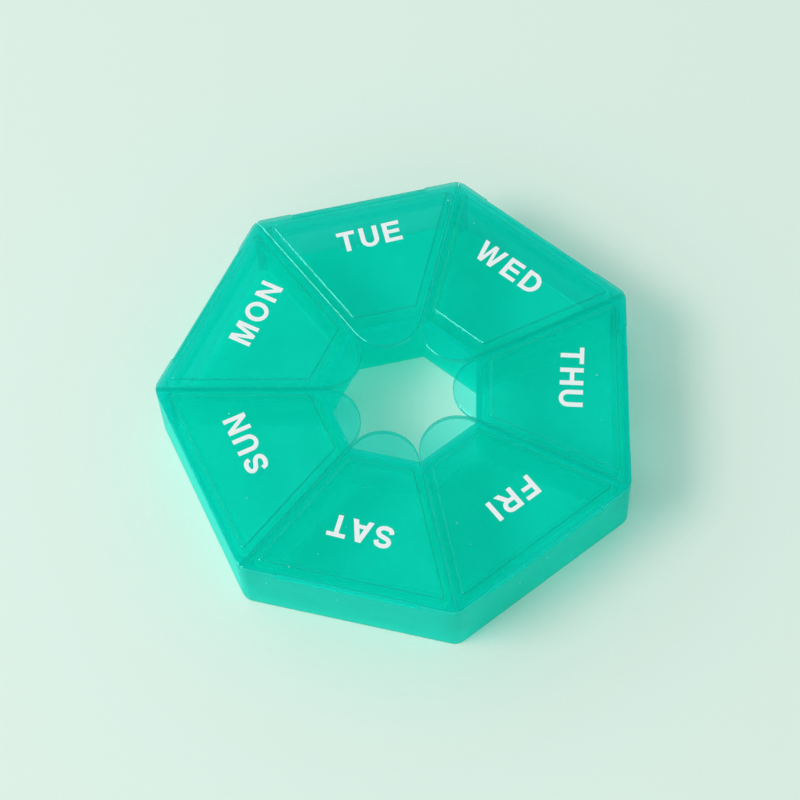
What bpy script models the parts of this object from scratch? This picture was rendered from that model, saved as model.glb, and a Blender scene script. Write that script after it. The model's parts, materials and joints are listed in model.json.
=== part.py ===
"""Weekly pill box: a seven-sided ring tray, a lid for each day and the film hinges that carry the lids.

Metres, +Z up. The origin is under the middle of the box's footprint, on the surface it stands on.
A sector is one day's share of the ring: x runs from the ring's centre out through the middle of
the day's wall, y runs along that wall.
"""
import math

import bmesh
import bpy
from mathutils import Matrix, Vector

# Days, clockwise seen from above
DAYS = ("sun", "mon", "tue", "wed", "thu", "fri", "sat")
SIDES = len(DAYS)
HALF_TURN = math.pi / SIDES
LAST_DAY_FACES = -math.pi / 2

# Tray
BOX_APOTHEM = 0.0446  # ring centre to the outer wall's face
HOLE_APOTHEM = 0.01445  # ring centre to the inner wall's face
TRAY_HEIGHT = 0.0149
WALL = 0.0012
FLOOR = 0.0012
DIVIDER = 0.0013
BOX_CORNER_RADIUS = 0.0032
HOLE_CORNER_RADIUS = 0.0006
TRAY_EDGE_RADIUS = 0.0005
COMPARTMENT_OUTER_RADIUS = 0.0015
COMPARTMENT_INNER_RADIUS = 0.0015
COMPARTMENT_FLOOR_RADIUS = 0.0008

# Gaps: to what a piece rests on or passes, and between two lids
CLEARANCE = 0.0003
LID_GAP = 0.00035

# Lid plate and its finger tab
PLATE_THICKNESS = 0.0011
PLATE_EDGE_RADIUS = 0.00025
TAB_REACH = 0.00455  # how far the tab's tip stands over the centre hole

# Raised panel in the middle of the lid
PANEL_RISE = 0.0004
PANEL_SIDE_INSET = 0.0018
PANEL_OUTER_INSET = 0.0022
PANEL_INNER_INSET = 0.003
PANEL_CORNER_RADIUS = 0.0012
PANEL_EDGE_RADIUS = 0.0002

# Skirt under the lid, which plugs the compartment
SKIRT_DEPTH = 0.0022
SKIRT_THICKNESS = 0.0009
SKIRT_FIT = 0.0004  # skirt to divider, and to inner wall
SKIRT_HINGE_FIT = 0.0012  # skirt to outer wall, room for it to swing in
SKIRT_EDGE_RADIUS = 0.0002

# Film hinge
FILM_LENGTH = 0.028
FILM_THICKNESS = 0.0003
FILM_SEAT = 0.0008  # how far the wall's rim is cut down for the film
FILM_BELOW_PLATE_TOP = 0.0003
AXIS_OUTSET = 0.00015  # hinge axis to the outer wall's face, outside it

# Modelling
ARC_STEP = math.radians(20)
EDGE_ROUNDING_STEPS = 1
CUT_OVERRUN = 0.002
WELD = 0.000001

# Heights and places that follow
PLATE_BOTTOM = TRAY_HEIGHT + CLEARANCE
PLATE_TOP = PLATE_BOTTOM + PLATE_THICKNESS
PANEL_TOP = PLATE_TOP + PANEL_RISE
HINGE_HEIGHT = (TRAY_HEIGHT + PLATE_BOTTOM) / 2
HINGE_APOTHEM = BOX_APOTHEM + AXIS_OUTSET
HINGE_RECESS = FILM_THICKNESS + CLEARANCE
HINGE_RECESS_LENGTH = FILM_LENGTH + 2 * CLEARANCE
BOX_CORNER_REACH = (BOX_APOTHEM - BOX_CORNER_RADIUS) / math.cos(HALF_TURN) + BOX_CORNER_RADIUS
RING_CENTRE = Vector((0, (BOX_APOTHEM - BOX_CORNER_REACH) / 2, 0))

# Colours, sRGB
TRAY_GREEN = (18, 196, 165)
LID_GREEN = (10, 206, 178)
FILM_GREEN = (70, 220, 196)
PLASTIC_ROUGHNESS = 0.18


def day_angle(index):
    """Angle from +X to the direction that a day's wall faces."""
    return LAST_DAY_FACES - (index + 1) * 2 * HALF_TURN


def arc(centre, radius, start, end):
    """Points along a circle, both ends included."""
    steps = max(1, math.ceil(abs(end - start) / ARC_STEP))
    angles = [start + (end - start) * i / steps for i in range(steps + 1)]
    return [centre + radius * Vector((math.cos(a), math.sin(a))) for a in angles]


def rounded(corners):
    """A closed outline through (x, y, radius) corners, each turned into an arc that touches both sides."""
    points = []
    for i, (x, y, radius) in enumerate(corners):
        here = Vector((x, y))
        back = (Vector(corners[i - 1][:2]) - here).normalized()
        ahead = (Vector(corners[(i + 1) % len(corners)][:2]) - here).normalized()
        if radius == 0:
            points.append(here)
            continue
        half_corner = back.angle(ahead) / 2
        centre = here + (back + ahead).normalized() * radius / math.sin(half_corner)
        first = here + back * radius / math.tan(half_corner) - centre
        last = here + ahead * radius / math.tan(half_corner) - centre
        start = math.atan2(first.y, first.x)
        turn = math.remainder(math.atan2(last.y, last.x) - start, 2 * math.pi)
        points += arc(centre, radius, start, start + turn)
    return points


def half_width(x, inset):
    """Half of a sector's width at x, less an inset square to its sides."""
    return x * math.tan(HALF_TURN) - inset / math.cos(HALF_TURN)


def trapezoid(inner, outer, inset, inner_radius, outer_radius):
    """Outline in a sector between two distances from the ring's centre."""
    inner_y = half_width(inner, inset)
    outer_y = half_width(outer, inset)
    return rounded([
        (inner, -inner_y, inner_radius),
        (outer, -outer_y, outer_radius),
        (outer, outer_y, outer_radius),
        (inner, inner_y, inner_radius),
    ])


def ring_polygon(apothem, radius):
    """Seven-sided outline round the ring's centre, with rounded corners."""
    reach = apothem / math.cos(HALF_TURN)
    angles = [LAST_DAY_FACES + (2 * i + 1) * HALF_TURN for i in range(SIDES)]
    return rounded([(reach * math.cos(a), reach * math.sin(a), radius) for a in angles])


def lid_outline():
    """Lid plate seen from above: it follows the box's rounded corners, and its inner end is the tab."""
    arc_centre_x = BOX_APOTHEM - BOX_CORNER_RADIUS
    arc_centre = Vector((arc_centre_x, arc_centre_x * math.tan(HALF_TURN)))
    corner_turn = HALF_TURN - math.asin(LID_GAP / 2 / BOX_CORNER_RADIUS)
    recess_x = BOX_APOTHEM - HINGE_RECESS
    recess_y = HINGE_RECESS_LENGTH / 2
    outer_side = [Vector((recess_x, recess_y)), Vector((BOX_APOTHEM, recess_y))]
    outer_side += arc(arc_centre, BOX_CORNER_RADIUS, 0, corner_turn)
    mirrored = [Vector((p.x, -p.y)) for p in reversed(outer_side)]
    tab_half_width = half_width(HOLE_APOTHEM, LID_GAP / 2)
    tab_radius = (tab_half_width**2 + TAB_REACH**2) / (2 * TAB_REACH)
    tab_centre = Vector((HOLE_APOTHEM - TAB_REACH + tab_radius, 0))
    tab_turn = math.asin(tab_half_width / tab_radius)
    tab = arc(tab_centre, tab_radius, math.pi - tab_turn, math.pi + tab_turn)
    return mirrored + outer_side + tab


def new_collection(name):
    collection = bpy.data.collections.new(name)
    bpy.context.scene.collection.children.link(collection)
    return collection


def plastic(name, srgb):
    """Clear green moulded plastic in one of the box's shades."""
    material = bpy.data.materials.new(name)
    material.use_nodes = True
    shader = material.node_tree.nodes["Principled BSDF"]
    linear = [(c / 255 / 12.92) if c <= 10 else ((c / 255 + 0.055) / 1.055) ** 2.4 for c in srgb]
    shader.inputs["Base Color"].default_value = (*linear, 1)
    shader.inputs["Roughness"].default_value = PLASTIC_ROUGHNESS
    shader.inputs["Metallic"].default_value = 0
    return material


def evaluated_mesh(obj):
    """The object's shape with its modifiers, as a new mesh, its loose edges welded."""
    bpy.context.view_layer.update()
    graph = bpy.context.evaluated_depsgraph_get()
    mesh = bpy.data.meshes.new_from_object(obj.evaluated_get(graph), depsgraph=graph)
    shape = bmesh.new()
    shape.from_mesh(mesh)
    bmesh.ops.remove_doubles(shape, verts=shape.verts, dist=WELD)
    bmesh.ops.recalc_face_normals(shape, faces=shape.faces)
    shape.to_mesh(mesh)
    shape.free()
    return mesh


def slab(name, collection, outline, bottom, top, edge=0):
    """A flat outline with thickness, its top and bottom edges rounded by edge."""
    curve = bpy.data.curves.new(name, "CURVE")
    curve.dimensions = "2D"
    curve.fill_mode = "BOTH"
    curve.extrude = (top - bottom) / 2 - edge
    curve.bevel_depth = edge
    curve.bevel_resolution = EDGE_ROUNDING_STEPS
    curve.offset = -edge
    spline = curve.splines.new("POLY")
    spline.points.add(len(outline) - 1)
    for point, corner in zip(spline.points, outline):
        point.co = (corner.x, corner.y, 0, 1)
    spline.use_cyclic_u = True
    drawn = bpy.data.objects.new(name + "_outline", curve)
    collection.objects.link(drawn)
    mesh = evaluated_mesh(drawn)
    mesh.transform(Matrix.Translation((0, 0, (bottom + top) / 2)))
    bpy.data.objects.remove(drawn)
    bpy.data.curves.remove(curve)
    solid = bpy.data.objects.new(name, mesh)
    collection.objects.link(solid)
    return solid


def hide_cutter(obj):
    obj.hide_render = True
    obj.display_type = "WIRE"


def boolean(obj, operation, name, collection=None, other=None):
    """Cut or join with one object, or with all of a collection."""
    modifier = obj.modifiers.new(name, "BOOLEAN")
    modifier.operation = operation
    modifier.solver = "EXACT"
    if collection:
        modifier.operand_type = "COLLECTION"
        modifier.collection = collection
    else:
        modifier.object = other


def finish(obj, material, parent):
    """Material, parent and the shading of the rounded edges."""
    obj.data.materials.clear()
    obj.data.materials.append(material)
    obj.data.shade_smooth()
    obj.data.set_sharp_from_angle(angle=math.radians(35))
    obj.parent = parent


def make_tray(parts, cutters, ring):
    """One moulding: floor, outer wall, inner wall round the centre hole, and a divider between days."""
    hole = slab("hole_cut", cutters, ring_polygon(HOLE_APOTHEM, HOLE_CORNER_RADIUS),
                -CUT_OVERRUN, TRAY_HEIGHT + CUT_OVERRUN)
    hole.parent = ring
    hide_cutter(hole)
    compartment = trapezoid(HOLE_APOTHEM + WALL, BOX_APOTHEM - WALL, DIVIDER / 2,
                            COMPARTMENT_INNER_RADIUS, COMPARTMENT_OUTER_RADIUS)
    seat_low = (BOX_APOTHEM - HINGE_RECESS, -HINGE_RECESS_LENGTH / 2)
    seat_high = (BOX_APOTHEM + CUT_OVERRUN, HINGE_RECESS_LENGTH / 2)
    seat = [Vector(seat_low), Vector((seat_high[0], seat_low[1])),
            Vector(seat_high), Vector((seat_low[0], seat_high[1]))]
    for i, day in enumerate(DAYS):
        pocket = slab(f"compartment_cut_{day}", cutters, compartment,
                      FLOOR, TRAY_HEIGHT + CUT_OVERRUN, COMPARTMENT_FLOOR_RADIUS)
        rim_cut = slab(f"film_seat_cut_{day}", cutters, seat,
                       TRAY_HEIGHT - FILM_SEAT, TRAY_HEIGHT + CUT_OVERRUN)
        for cutter in (pocket, rim_cut):
            cutter.rotation_euler.z = day_angle(i)
            cutter.parent = ring
            hide_cutter(cutter)
    tray = slab("tray", parts, ring_polygon(BOX_APOTHEM, BOX_CORNER_RADIUS), 0, TRAY_HEIGHT, TRAY_EDGE_RADIUS)
    finish(tray, plastic("tray_plastic", TRAY_GREEN), ring)
    boolean(tray, "DIFFERENCE", "hollows", collection=cutters)


def make_lid_mesh(shop):
    """Plate with tab, raised panel and skirt in one wall of plastic, in the hinge's own frame."""
    skirt_inner = HOLE_APOTHEM + WALL + SKIRT_FIT
    skirt_outer = BOX_APOTHEM - WALL - SKIRT_HINGE_FIT
    skirt_inset = DIVIDER / 2 + SKIRT_FIT
    skirt = trapezoid(skirt_inner, skirt_outer, skirt_inset,
                      COMPARTMENT_INNER_RADIUS, COMPARTMENT_OUTER_RADIUS)
    hollow = trapezoid(skirt_inner + SKIRT_THICKNESS, skirt_outer - SKIRT_THICKNESS,
                       skirt_inset + SKIRT_THICKNESS,
                       max(0, COMPARTMENT_INNER_RADIUS - SKIRT_THICKNESS),
                       max(0, COMPARTMENT_OUTER_RADIUS - SKIRT_THICKNESS))
    panel = trapezoid(HOLE_APOTHEM + PANEL_INNER_INSET, BOX_APOTHEM - PANEL_OUTER_INSET,
                      PANEL_SIDE_INSET, PANEL_CORNER_RADIUS, PANEL_CORNER_RADIUS)
    plate = slab("plate", shop, lid_outline(), PLATE_BOTTOM, PLATE_TOP, PLATE_EDGE_RADIUS)
    raised = slab("panel", shop, panel, (PLATE_BOTTOM + PLATE_TOP) / 2, PANEL_TOP, PANEL_EDGE_RADIUS)
    plug = slab("skirt", shop, skirt, PLATE_BOTTOM - SKIRT_DEPTH, (PLATE_BOTTOM + PLATE_TOP) / 2,
                SKIRT_EDGE_RADIUS)
    inside = slab("inside", shop, hollow, PLATE_BOTTOM - SKIRT_DEPTH - CUT_OVERRUN,
                  PANEL_TOP - PLATE_THICKNESS)
    boolean(plate, "UNION", "panel", other=raised)
    boolean(plate, "UNION", "skirt", other=plug)
    boolean(plate, "DIFFERENCE", "inside", other=inside)
    mesh = evaluated_mesh(plate)
    mesh.name = "day_lid"
    mesh.transform(Matrix.Translation((-HINGE_APOTHEM, 0, -HINGE_HEIGHT)))
    for obj in (plate, raised, plug, inside):
        bpy.data.objects.remove(obj)
    return mesh


def make_film_mesh(shop):
    """Thin strip that stands before the rim and the lid's edge, in the hinge's own frame."""
    half_length = FILM_LENGTH / 2
    inner_face = BOX_APOTHEM - FILM_THICKNESS
    outline = [Vector((inner_face, -half_length)), Vector((BOX_APOTHEM, -half_length)),
               Vector((BOX_APOTHEM, half_length)), Vector((inner_face, half_length))]
    film = slab("film", shop, outline, TRAY_HEIGHT - FILM_SEAT + CLEARANCE, PLATE_TOP - FILM_BELOW_PLATE_TOP)
    mesh = film.data
    mesh.name = "film_hinge"
    mesh.transform(Matrix.Translation((-HINGE_APOTHEM, 0, -HINGE_HEIGHT)))
    bpy.data.objects.remove(film)
    return mesh


def place_on_hinges(parts, mesh, name, material, ring):
    """A copy for each day, its origin in the middle of that day's hinge axis."""
    for i, day in enumerate(DAYS):
        piece = bpy.data.objects.new(f"{name}_{day}", mesh)
        parts.objects.link(piece)
        angle = day_angle(i)
        piece.location = (HINGE_APOTHEM * math.cos(angle), HINGE_APOTHEM * math.sin(angle), HINGE_HEIGHT)
        piece.rotation_euler.z = angle
        finish(piece, material, ring)


def main():
    for obj in list(bpy.data.objects):
        bpy.data.objects.remove(obj)
    parts = new_collection("weekly_pill_box")
    cutters = new_collection("cutters")
    ring = bpy.data.objects.new("ring_centre", None)
    ring.location = RING_CENTRE
    parts.objects.link(ring)
    make_tray(parts, cutters, ring)
    place_on_hinges(parts, make_lid_mesh(parts), "lid", plastic("lid_plastic", LID_GREEN), ring)
    place_on_hinges(parts, make_film_mesh(parts), "hinge", plastic("film_plastic", FILM_GREEN), ring)


main()
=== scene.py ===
# %% [markdown]
# # Weekly pill box
# A ring of seven small compartments, moulded from clear green polypropylene, with a lid
# and a finger tab for each day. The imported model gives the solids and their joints. Here
# each of them gets its soft moulded edges, its curled hinge film, its printed letters and
# the look of tinted plastic that light shines through.

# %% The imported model
import json
import math

import bmesh
import bpy
from mathutils import Matrix, Vector


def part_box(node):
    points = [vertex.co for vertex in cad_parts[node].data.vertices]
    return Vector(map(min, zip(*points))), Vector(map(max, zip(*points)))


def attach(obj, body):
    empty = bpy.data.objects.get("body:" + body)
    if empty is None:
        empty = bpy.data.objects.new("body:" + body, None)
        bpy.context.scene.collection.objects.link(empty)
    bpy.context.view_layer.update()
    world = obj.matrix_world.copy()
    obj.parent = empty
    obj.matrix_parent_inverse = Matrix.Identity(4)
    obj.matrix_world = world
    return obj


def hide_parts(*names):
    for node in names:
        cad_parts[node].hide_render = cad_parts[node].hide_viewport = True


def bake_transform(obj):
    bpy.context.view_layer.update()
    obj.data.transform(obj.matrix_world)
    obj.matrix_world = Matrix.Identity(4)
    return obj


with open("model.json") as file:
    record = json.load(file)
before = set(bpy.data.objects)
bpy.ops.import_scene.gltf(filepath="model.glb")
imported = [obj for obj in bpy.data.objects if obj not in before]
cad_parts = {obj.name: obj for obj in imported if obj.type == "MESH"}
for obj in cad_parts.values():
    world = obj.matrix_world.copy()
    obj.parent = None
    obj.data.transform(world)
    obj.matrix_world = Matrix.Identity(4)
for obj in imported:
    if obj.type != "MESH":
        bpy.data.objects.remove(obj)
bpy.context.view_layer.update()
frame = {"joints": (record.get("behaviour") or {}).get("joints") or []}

# %% [markdown]
# ## The ring's plan
# Seven equal sectors meet round an open centre. The hinges stand at equal distances round
# the ring, so the mean of their places is the ring's centre, and each one's direction from
# there is the way its day faces. A corner of the ring lies half a turn from the middle of
# the wall beside it, where a whole turn is the step from one day to the next. Everything
# about a lid is worked out once in a sector of its own, where x runs outward and y along
# the wall, and is then turned to its day.

# %% Days and directions
MM = 0.001
SIDES = 7
HALF_TURN = math.pi / SIDES
hinges = {joint["child"].removeprefix("lid_"): Vector(joint["pos_m"]) for joint in frame["joints"]}
ring_centre = sum(hinges.values(), Vector()) / len(hinges)
ring_centre.z = 0


def facing(day):
    """The angle from +X to the way a day's wall faces."""
    out = hinges[day] - ring_centre
    return math.atan2(out.y, out.x)


def sector(day):
    """The matrix that takes a day's own sector to its place on the ring."""
    return Matrix.Translation(ring_centre) @ Matrix.Rotation(facing(day), 4, "Z")


print("days in the frame:", list(hinges), "ring centre, mm:", [round(v / MM, 2) for v in ring_centre])

# %% [markdown]
# ## Sizes
# The box's height and width are read from the solids and aren't typed again, so that the
# dressed model can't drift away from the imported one. Saturday's wall faces straight along
# -Y, so its lid and its film give the heights and depths that all the lids share. Each hinge
# film stands in a shallow seat, which is cut into the rim and a little longer than the film.

# %% Sizes from the solids
tray_low, tray_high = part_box("tray")
lid_low, lid_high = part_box("lid_sat")
film_low, film_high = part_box("hinge_sat")
BOX_APOTHEM = ring_centre.y - tray_low.y
TRAY_HEIGHT = tray_high.z
PANEL_TOP = lid_high.z
FILM_LENGTH = film_high.x - film_low.x
print("height, mm:", round(PANEL_TOP / MM, 2), "across the flats:", round(2 * BOX_APOTHEM / MM, 2))

# %% Size of the open centre
HOLE_APOTHEM = 14.45 * MM
print("across the flats of the open centre, mm:", round(2 * HOLE_APOTHEM / MM, 1))

# %% Sizes of the film's seat
HINGE_RECESS = 0.2 * MM
FILM_SEAT = 0.5 * MM
SEAT_LENGTH = FILM_LENGTH + 0.2 * MM
SEAT_HEIGHT = TRAY_HEIGHT - FILM_SEAT
print("the seat of a film, mm: long", round(SEAT_LENGTH / MM, 1), "and high", round(SEAT_HEIGHT / MM, 2))

# %% [markdown]
# ## Outlines
# Every shape here is an outline with straight sides and round corners, and each outline is
# a function of how far it is drawn in from the full size. It always has the same number of
# points, so one drawing of it joins the next point to point, and a rounded edge is simply
# the outline drawn in along a quarter circle.

# %% Arcs and round corners
CORNER_STEPS = 7


def arc(centre, radius, start, end, steps):
    """Points along a circle, both ends included."""
    angles = [start + (end - start) * i / steps for i in range(steps + 1)]
    return [centre + radius * Vector((math.cos(a), math.sin(a))) for a in angles]


def rounded(corners):
    """A closed outline through (x, y, radius) corners, each turned into an arc."""
    points = []
    for i, (x, y, radius) in enumerate(corners):
        here = Vector((x, y))
        back = (Vector(corners[i - 1][:2]) - here).normalized()
        ahead = (Vector(corners[(i + 1) % len(corners)][:2]) - here).normalized()
        half_corner = back.angle(ahead) / 2
        centre = here + (back + ahead).normalized() * radius / math.sin(half_corner)
        reach = radius / math.tan(half_corner)
        first = here + back * reach - centre
        last = here + ahead * reach - centre
        start = math.atan2(first.y, first.x)
        turn = math.remainder(math.atan2(last.y, last.x) - start, math.tau)
        points += arc(centre, radius, start, start + turn, CORNER_STEPS)
    return points


print("points of a round corner:", CORNER_STEPS + 1)

# %% Shapes inside a sector
def half_width(x, inset):
    """Half of a sector's width at x, less an inset square to its sides."""
    return x * math.tan(HALF_TURN) - inset / math.cos(HALF_TURN)


def trapezoid(inner, outer, side, radius):
    """The outline function of a part of a sector between two distances from the centre."""
    def outline(inset):
        near, far = inner + inset, outer - inset
        near_y, far_y = half_width(near, side + inset), half_width(far, side + inset)
        corners = (near, -near_y), (far, -far_y), (far, far_y), (near, near_y)
        return rounded([(x, y, radius - inset) for x, y in corners])
    return outline


print("points round a part of a sector:", len(trapezoid(HOLE_APOTHEM, BOX_APOTHEM, 0, MM)(0)))

# %% The box and its hole from above
BOX_CORNER_RADIUS = 3.2 * MM
HOLE_CORNER_RADIUS = 0.6 * MM


def box_outline(inset, seat=0):
    """The box from above. Each wall has its stretch of film seat, cut in by seat."""
    corner_reach = (BOX_APOTHEM - BOX_CORNER_RADIUS) / math.cos(HALF_TURN)
    half = SEAT_LENGTH / 2 + (inset if seat else 0)
    points = []
    for i in range(SIDES):
        wall = facing("sat") + 2 * HALF_TURN * i
        towards = Vector((math.cos(wall - HALF_TURN), math.sin(wall - HALF_TURN)))
        points += arc(corner_reach * towards, BOX_CORNER_RADIUS - inset,
                      wall - 2 * HALF_TURN, wall, CORNER_STEPS)
        for cut, y in ((0, -half), (seat, -half), (seat, half), (0, half)):
            points.append(Matrix.Rotation(wall, 2) @ Vector((BOX_APOTHEM - inset - cut, y)))
    return points


def hole_outline(inset):
    """The centre hole from above, larger as the plastic round it is drawn in."""
    reach = (HOLE_APOTHEM + inset) / math.cos(HALF_TURN)
    angles = [facing("sat") + (2 * i + 1) * HALF_TURN for i in range(SIDES)]
    return rounded([(reach * math.cos(a), reach * math.sin(a), HOLE_CORNER_RADIUS + inset) for a in angles])


print("points round the box and round the hole:", len(box_outline(0)), len(hole_outline(0)))

# %% A lid from above
LID_GAP = 0.2 * MM
TAB_REACH = 4.55 * MM
TAB_STEPS = 40


def plate_outline(inset):
    """A lid from above: it follows the box's round corners, and its inner end is the finger tab."""
    edge = LID_GAP / 2 + inset
    corner_radius = BOX_CORNER_RADIUS - inset
    corner_x = BOX_APOTHEM - BOX_CORNER_RADIUS
    corner_centre = Vector((corner_x, corner_x * math.tan(HALF_TURN)))
    seat_y = SEAT_LENGTH / 2 + inset
    outer = [Vector((BOX_APOTHEM - HINGE_RECESS - inset, seat_y)), Vector((BOX_APOTHEM - inset, seat_y))]
    outer += arc(corner_centre, corner_radius, 0, HALF_TURN - math.asin(edge / corner_radius), CORNER_STEPS)
    mirrored = [Vector((p.x, -p.y)) for p in reversed(outer)]
    tab_half_width = half_width(HOLE_APOTHEM, LID_GAP / 2)
    tab_radius = (tab_half_width**2 + TAB_REACH**2) / (2 * TAB_REACH)
    tab_centre = Vector((HOLE_APOTHEM - TAB_REACH + tab_radius, 0))
    from_side = tab_centre.x * math.sin(HALF_TURN) - edge
    start = HALF_TURN + math.pi / 2 + math.acos(from_side / (tab_radius - inset))
    return mirrored + outer + arc(tab_centre, tab_radius - inset, start, math.tau - start, TAB_STEPS)


print("points round a lid:", len(plate_outline(0)))

# %% [markdown]
# ## From rings to a moulding
# A ring is an outline at a height. Rings are joined into walls, flat sheets close what is
# left between them, and the mesh is welded. Most edges are rounded in a few steps. The upper
# edges of the lids are bevelled instead, at 29 degrees: a bevel is one flat facet, so the
# lamp shows along its whole length as a thin white line. Edges that turn by more than 25
# degrees stay sharp in the shading, and the shading is weighted by face, so that the flat
# faces stay flat to the eye.
#
# Each face also keeps two numbers that the plastic reads: how milky it is, and how deep its
# colour is. On the lids' bevels and sides and on the tray's rounded foot they are painted
# light and shade: edge lines in place of the light that real plastic bends there, and painted
# shade where the wall meets the table. Two materials could say the same, but a closed mesh
# with dye inside is one volume, and a renderer counts its way in and out of it by one material.

# %% Edges in section
EDGE_STEPS = 4
BEVEL_SLOPE = math.tan(math.radians(29))


def quarter(radius):
    """A rounded edge from its side face to its flat face, as (inset, distance from the flat face)."""
    angles = [math.pi / 2 * i / EDGE_STEPS for i in range(EDGE_STEPS + 1)]
    return [(radius * (1 - math.cos(a)), radius * (1 - math.sin(a))) for a in angles]


def bevel(width):
    """A bevelled edge from its side face to its flat face, given in the same way."""
    return [(0, width * BEVEL_SLOPE), (width, 0)]


def foot(radius):
    """A hollow edge from a flat face to a side that stands on it, given in the same way."""
    angles = [math.pi / 2 * i / EDGE_STEPS for i in range(EDGE_STEPS + 1)]
    return [(-radius * (1 - math.sin(a)), radius * (1 - math.cos(a))) for a in angles]


print("a bevel 1 wide goes down by:", round(bevel(1)[0][1], 2))

# %% Rings and sheets
WELD = 0.001 * MM


def ring(shape, outline, height):
    """The outline's points at a height. Points that fall together share one vertex."""
    points = []
    for p in outline:
        together = points and (points[-1].co.xy - p).length < WELD
        points.append(points[-1] if together else shape.verts.new((p.x, p.y, height)))
    return points


def join(shape, rings):
    """Walls from each ring to the next."""
    for low, high in zip(rings, rings[1:]):
        for i in range(len(low)):
            corners = dict.fromkeys((low[i - 1], low[i], high[i], high[i - 1]))
            if len(corners) > 2:
                shape.faces.new(list(corners))


def sheet(shape, *rings):
    """A flat face between an outer ring and the rings inside it."""
    edges = []
    for points in rings:
        for a, b in zip(points, points[1:] + points[:1]):
            if a != b:
                edges.append(shape.edges.get((a, b)) or shape.edges.new((a, b)))
    bmesh.ops.triangle_fill(shape, use_beauty=True, use_dissolve=False, edges=edges)


print("points closer than this share one vertex, mm:", WELD / MM)

# %% Meshes and pieces
SHARP = math.radians(25)
FACE_AREA_ONLY = 100


def to_mesh(shape, name, zone=lambda face: (0.0, 0.0)):
    """Welds the shape into one closed mesh. The zone of a face is its milk and depth of colour, on some
    edges painted light and shade.
    """
    bmesh.ops.remove_doubles(shape, verts=shape.verts, dist=WELD)
    bmesh.ops.dissolve_degenerate(shape, edges=shape.edges, dist=WELD)
    bmesh.ops.recalc_face_normals(shape, faces=shape.faces)
    milkiness = shape.faces.layers.float.new("milk")
    depth_and_painted_shade = shape.faces.layers.float.new("depth_and_painted_shade")
    for face in shape.faces:
        face[milkiness], face[depth_and_painted_shade] = zone(face)
    loose = sum(not edge.is_manifold for edge in shape.edges)
    mesh = bpy.data.meshes.new(name)
    shape.to_mesh(mesh)
    shape.free()
    mesh.shade_smooth()
    mesh.set_sharp_from_angle(angle=SHARP)
    print(f"{name}: {len(mesh.polygons)} faces, {loose} open edges")
    return mesh


def piece(name, mesh, material):
    """A finished object from a mesh, its shading weighted so that flat faces stay flat."""
    obj = bpy.data.objects.new(name, mesh)
    bpy.context.scene.collection.objects.link(obj)
    mesh.materials.append(material)
    weighted = obj.modifiers.new("flat_faces", "WEIGHTED_NORMAL")
    weighted.mode = "FACE_AREA"
    weighted.weight = FACE_AREA_ONLY
    weighted.keep_sharp = True
    return obj


print("edges that turn by more than this stay sharp, degrees:", round(math.degrees(SHARP)))

# %% [markdown]
# ## Colour and nodes
# Colours are written as the eye reads them, in sRGB hex, and turned into linear light by
# one function. One other function adds a node to a material, with its settings and what
# feeds it, and every material below is made with those two.

# %% Colour and nodes
def linear(hex_colour):
    """Linear light from an sRGB colour such as #12c4a5, with an alpha of 1."""
    parts = [int(hex_colour[i:i + 2], 16) / 255 for i in (1, 3, 5)]
    return [c / 12.92 if c <= 0.04045 else ((c + 0.055) / 1.055) ** 2.4 for c in parts] + [1]


def node(material, kind, settings=None, **inputs):
    """Adds a node. An input is a value or the output of another node, named with _ for a space."""
    made = material.node_tree.nodes.new("ShaderNode" + kind)
    for name, value in (settings or {}).items():
        setattr(made, name, value)
    for name, value in inputs.items():
        socket = made.inputs[int(name[1:])] if name[0] == "_" else made.inputs[name.replace("_", " ")]
        if isinstance(value, bpy.types.NodeSocket):
            material.node_tree.links.new(value, socket)
        else:
            socket.default_value = value
    return made


def new_material(name):
    """An empty material and its output node."""
    material = bpy.data.materials.new(name)
    material.use_nodes = True
    material.node_tree.nodes.clear()
    return material, node(material, "OutputMaterial")


def plug(material, shader, output, socket="Surface"):
    """Joins a shader to the output node."""
    material.node_tree.links.new(shader, output.inputs[socket])


print("the middle grey of a screen in linear light:", round(linear("#808080")[0], 3))

# %% [markdown]
# ## Clear tinted polypropylene
# The whole box is one plastic: natural polypropylene is slightly milky, and a little green
# dye makes it clear emerald. Three things give that look. Light that goes through loses its
# red in the depth of the plastic, which is volume absorption. A share of it is scattered by
# the milky plastic, to both sides of each surface. And the outside has gloss that grows
# towards grazing angles. Real refraction would bend every line inside the box and turn thin
# walls dark, and so the see-through share goes straight on.
#
# The dye lets hardly any red through, and so the mirror light of the surface is also held a
# little to the green side: a camera sees such a strong colour that way. On the way to the
# lamp a ray goes straight through too, and loses a little green and blue at each surface,
# which gives the box a shadow that is tinted and still dark enough to ground it.

# %% Dye
DYE = linear("#00fcfb")
DYE_DENSITY = 560
through_a_wall = [math.exp(-DYE_DENSITY * (1 - share) * MM) for share in DYE[:3]]
print("light through 1 mm of plastic, red, green, blue:", [round(share, 2) for share in through_a_wall])

# %% Milk in the plastic
MILK = linear("#00ecdf")
# the deep milk is also painted shade on the lids' edges and on the tray's rounded foot
DEEP_MILK_AND_PAINTED_SHADE = linear("#00c8b7")
MILK_TO_THE_BACK = 0.5
FLOW_LOW, FLOW_HIGH = 0.3, 0.7
FLOW_SHARE = 0.1


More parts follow.
